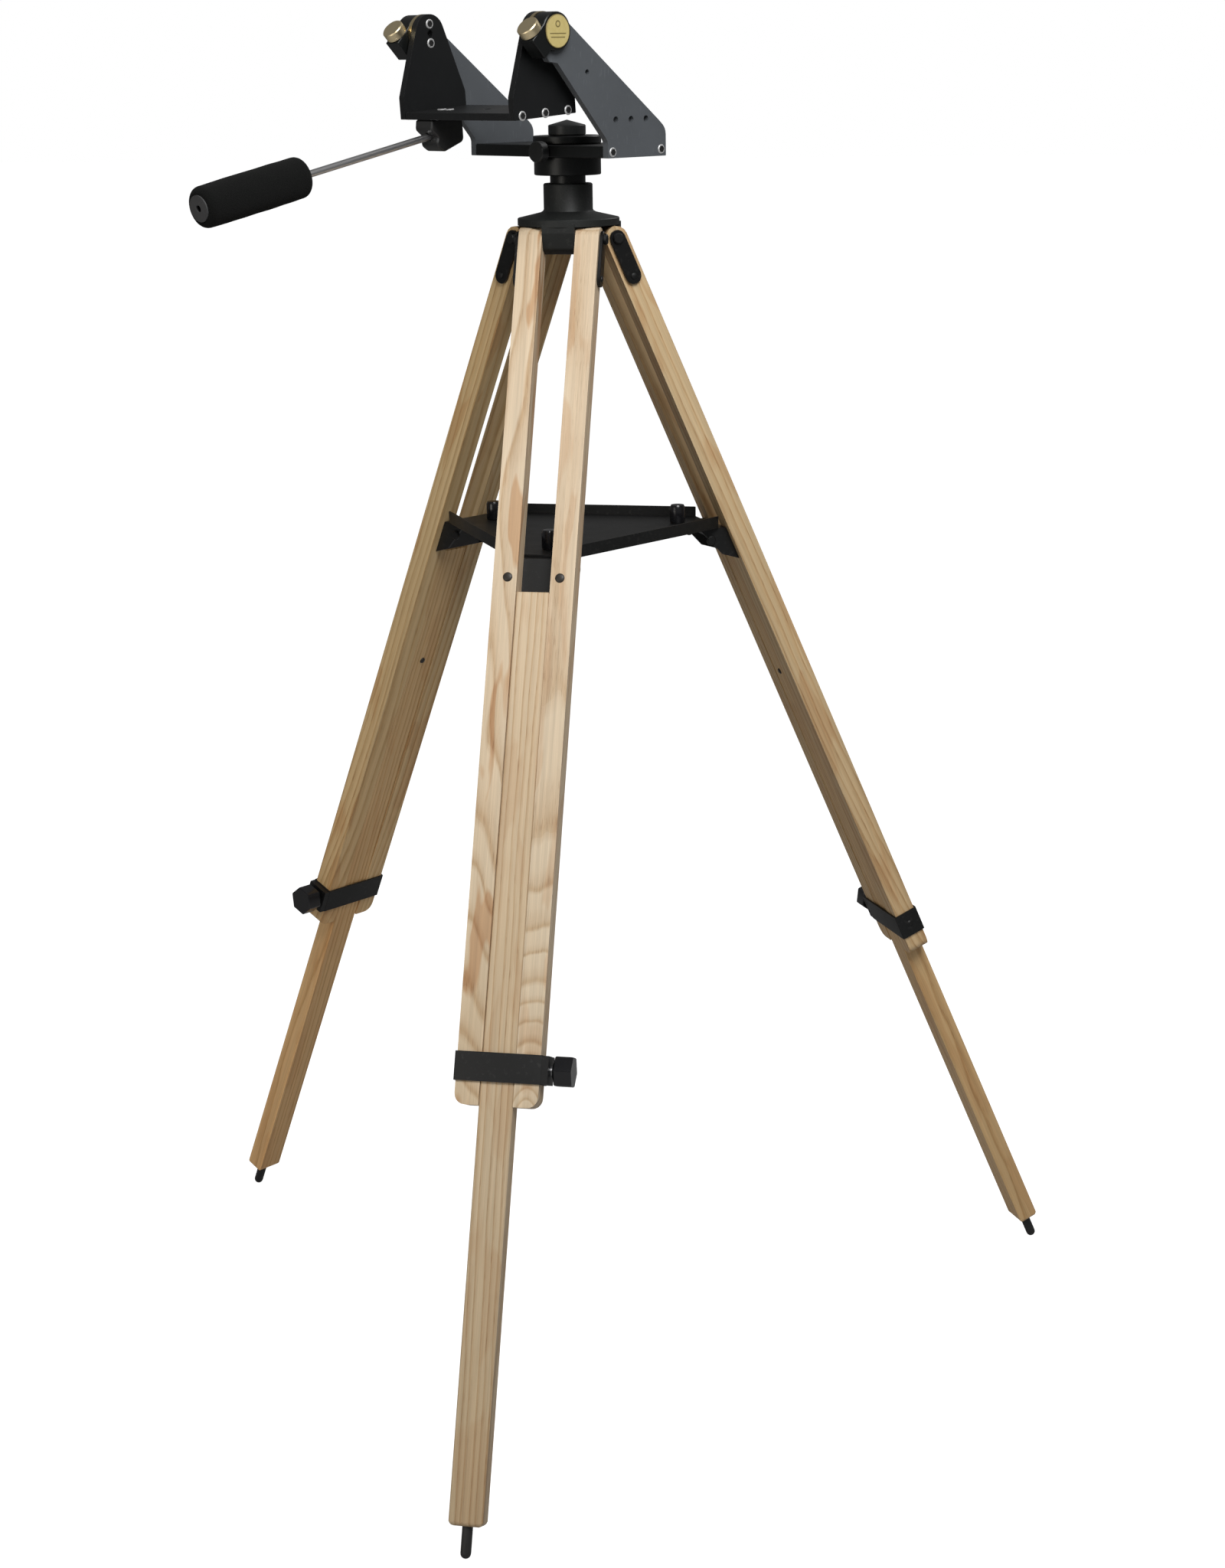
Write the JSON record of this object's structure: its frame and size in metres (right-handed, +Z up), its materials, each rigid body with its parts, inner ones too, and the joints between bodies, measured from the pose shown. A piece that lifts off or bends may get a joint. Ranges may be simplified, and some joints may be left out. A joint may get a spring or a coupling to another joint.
{
  "type": "alt azimuth mount on tripod",
  "caption": "Fork mount with a tilting cradle, brass brake knobs and a foam-gripped handle, on a wooden tripod whose legs slide out and whose tray ties them.",
  "frame": {"origin": "middle of the bounding box, on the ground the feet stand on", "axes": "+Z up; the front leg points towards -Y; the other legs point 30 degrees either side of +X and -X towards +Y"},
  "size_m": [0.8848, 0.773, 1.2796],
  "materials": {
    "wood": "satin",
    "black": "satin",
    "grey": "satin",
    "dark": "satin",
    "brass": "polished",
    "steel": "polished",
    "plastic": "matte",
    "foam": "matte",
    "cap": "matte"
  },
  "bodies": {
    "tripod": {"hub": "black", "rail_front_a": "wood", "rail_front_b": "wood", "pivot_plate_front_a": "black", "pivot_plate_front_b": "black", "pivot_bolt_front": "black", "collar_front": "black", "tray_bracket_front": "black", "rail_right_a": "wood", "rail_right_b": "wood", "pivot_plate_right_a": "black", "pivot_plate_right_b": "black", "pivot_bolt_right": "black", "collar_right": "black", "tray_bracket_right": "black", "rail_left_a": "wood", "rail_left_b": "wood", "pivot_plate_left_a": "black", "pivot_plate_left_b": "black", "pivot_bolt_left": "black", "collar_left": "black", "tray_bracket_left": "black", "tray": "black", "azimuth_base": "dark"},
    "head": {"fork_base": "dark", "azimuth_disc": "dark", "fork_arm_right": "grey", "fork_arm_left": "grey", "housing_right": "dark", "housing_left": "dark", "thrust_washer_right": "brass", "thrust_washer_left": "brass", "label_disc": "brass"},
    "cradle": {"cradle_plate_right": "dark", "cradle_plate_left": "dark", "altitude_shaft_right": "steel", "altitude_shaft_left": "steel", "platform": "dark", "handle_block": "plastic", "handle_rod": "steel", "foam_grip": "foam", "grip_end": "cap"},
    "azimuth_top_knob": {"azimuth_top_knob": "plastic"},
    "azimuth_brake_knob": {"azimuth_brake_knob": "plastic"},
    "altitude_brake_knob_right": {"altitude_brake_knob_right": "brass"},
    "altitude_brake_knob_left": {"altitude_brake_knob_left": "brass"},
    "lower_leg_front": {"lower_leg_front": "wood", "foot_front": "plastic"},
    "clamp_knob_front": {"clamp_knob_front": "plastic"},
    "tray_knob_front": {"tray_knob_front": "plastic"},
    "lower_leg_right": {"lower_leg_right": "wood", "foot_right": "plastic"},
    "clamp_knob_right": {"clamp_knob_right": "plastic"},
    "tray_knob_right": {"tray_knob_right": "plastic"},
    "lower_leg_left": {"lower_leg_left": "wood", "foot_left": "plastic"},
    "clamp_knob_left": {"clamp_knob_left": "plastic"},
    "tray_knob_left": {"tray_knob_left": "plastic"}
  },
  "joints": [
    {"name": "azimuth_turn", "type": "hinge", "parent": "tripod", "child": "head", "pos_m": [0, 0.12247, 1.15256], "axis": [0, 0, 1], "continuous": true},
    {"name": "altitude_tilt", "type": "hinge", "parent": "head", "child": "cradle", "pos_m": [-0.05681, 0.035, 1.26256], "axis": [0.8387, -0.5446, 0], "range_deg": [-45, 55]},
    {"name": "azimuth_top_knob_turn", "type": "hinge", "parent": "tripod", "child": "azimuth_top_knob", "pos_m": [0, 0.12247, 1.17256], "axis": [0, 0, 1], "continuous": true},
    {"name": "azimuth_brake_knob_turn", "type": "hinge", "parent": "head", "child": "azimuth_brake_knob", "pos_m": [-0.01539, 0.08775, 1.15726], "axis": [-0.5446, -0.8387, 0], "continuous": true},
    {"name": "altitude_brake_knob_right_turn", "type": "hinge", "parent": "head", "child": "altitude_brake_knob_right", "pos_m": [0.00416, -0.03132, 1.26164], "axis": [-0.3851, -0.593, 0.7071], "continuous": true},
    {"name": "altitude_brake_knob_left_turn", "type": "hinge", "parent": "head", "child": "altitude_brake_knob_left", "pos_m": [-0.14219, 0.06372, 1.26164], "axis": [-0.3851, -0.593, 0.7071], "continuous": true},
    {"name": "leg_slide_front", "type": "slide", "parent": "tripod", "child": "lower_leg_front", "axis": [0, -0.4008, -0.9162], "range_m": [0, 0.275]},
    {"name": "clamp_knob_front_turn", "type": "hinge", "parent": "tripod", "child": "clamp_knob_front", "pos_m": [0.055, -0.21578, 0.38404], "axis": [1, 0, 0], "continuous": true},
    {"name": "tray_knob_front_turn", "type": "hinge", "parent": "tripod", "child": "tray_knob_front", "pos_m": [0, 0.01747, 0.81186], "axis": [0, 0, 1], "continuous": true},
    {"name": "leg_slide_right", "type": "slide", "parent": "tripod", "child": "lower_leg_right", "axis": [0.3471, 0.2004, -0.9162], "range_m": [0, 0.275]},
    {"name": "clamp_knob_right_turn", "type": "hinge", "parent": "tripod", "child": "clamp_knob_right", "pos_m": [0.26543, 0.33923, 0.38404], "axis": [-0.5, 0.866, 0], "continuous": true},
    {"name": "tray_knob_right_turn", "type": "hinge", "parent": "tripod", "child": "tray_knob_right", "pos_m": [0.09093, 0.17497, 0.81186], "axis": [0, 0, 1], "continuous": true},
    {"name": "leg_slide_left", "type": "slide", "parent": "tripod", "child": "lower_leg_left", "axis": [-0.3471, 0.2004, -0.9162], "range_m": [0, 0.275]},
    {"name": "clamp_knob_left_turn", "type": "hinge", "parent": "tripod", "child": "clamp_knob_left", "pos_m": [-0.32043, 0.24396, 0.38404], "axis": [-0.5, -0.866, 0], "continuous": true},
    {"name": "tray_knob_left_turn", "type": "hinge", "parent": "tripod", "child": "tray_knob_left", "pos_m": [-0.09093, 0.17497, 0.81186], "axis": [0, 0, 1], "continuous": true}
  ]
}
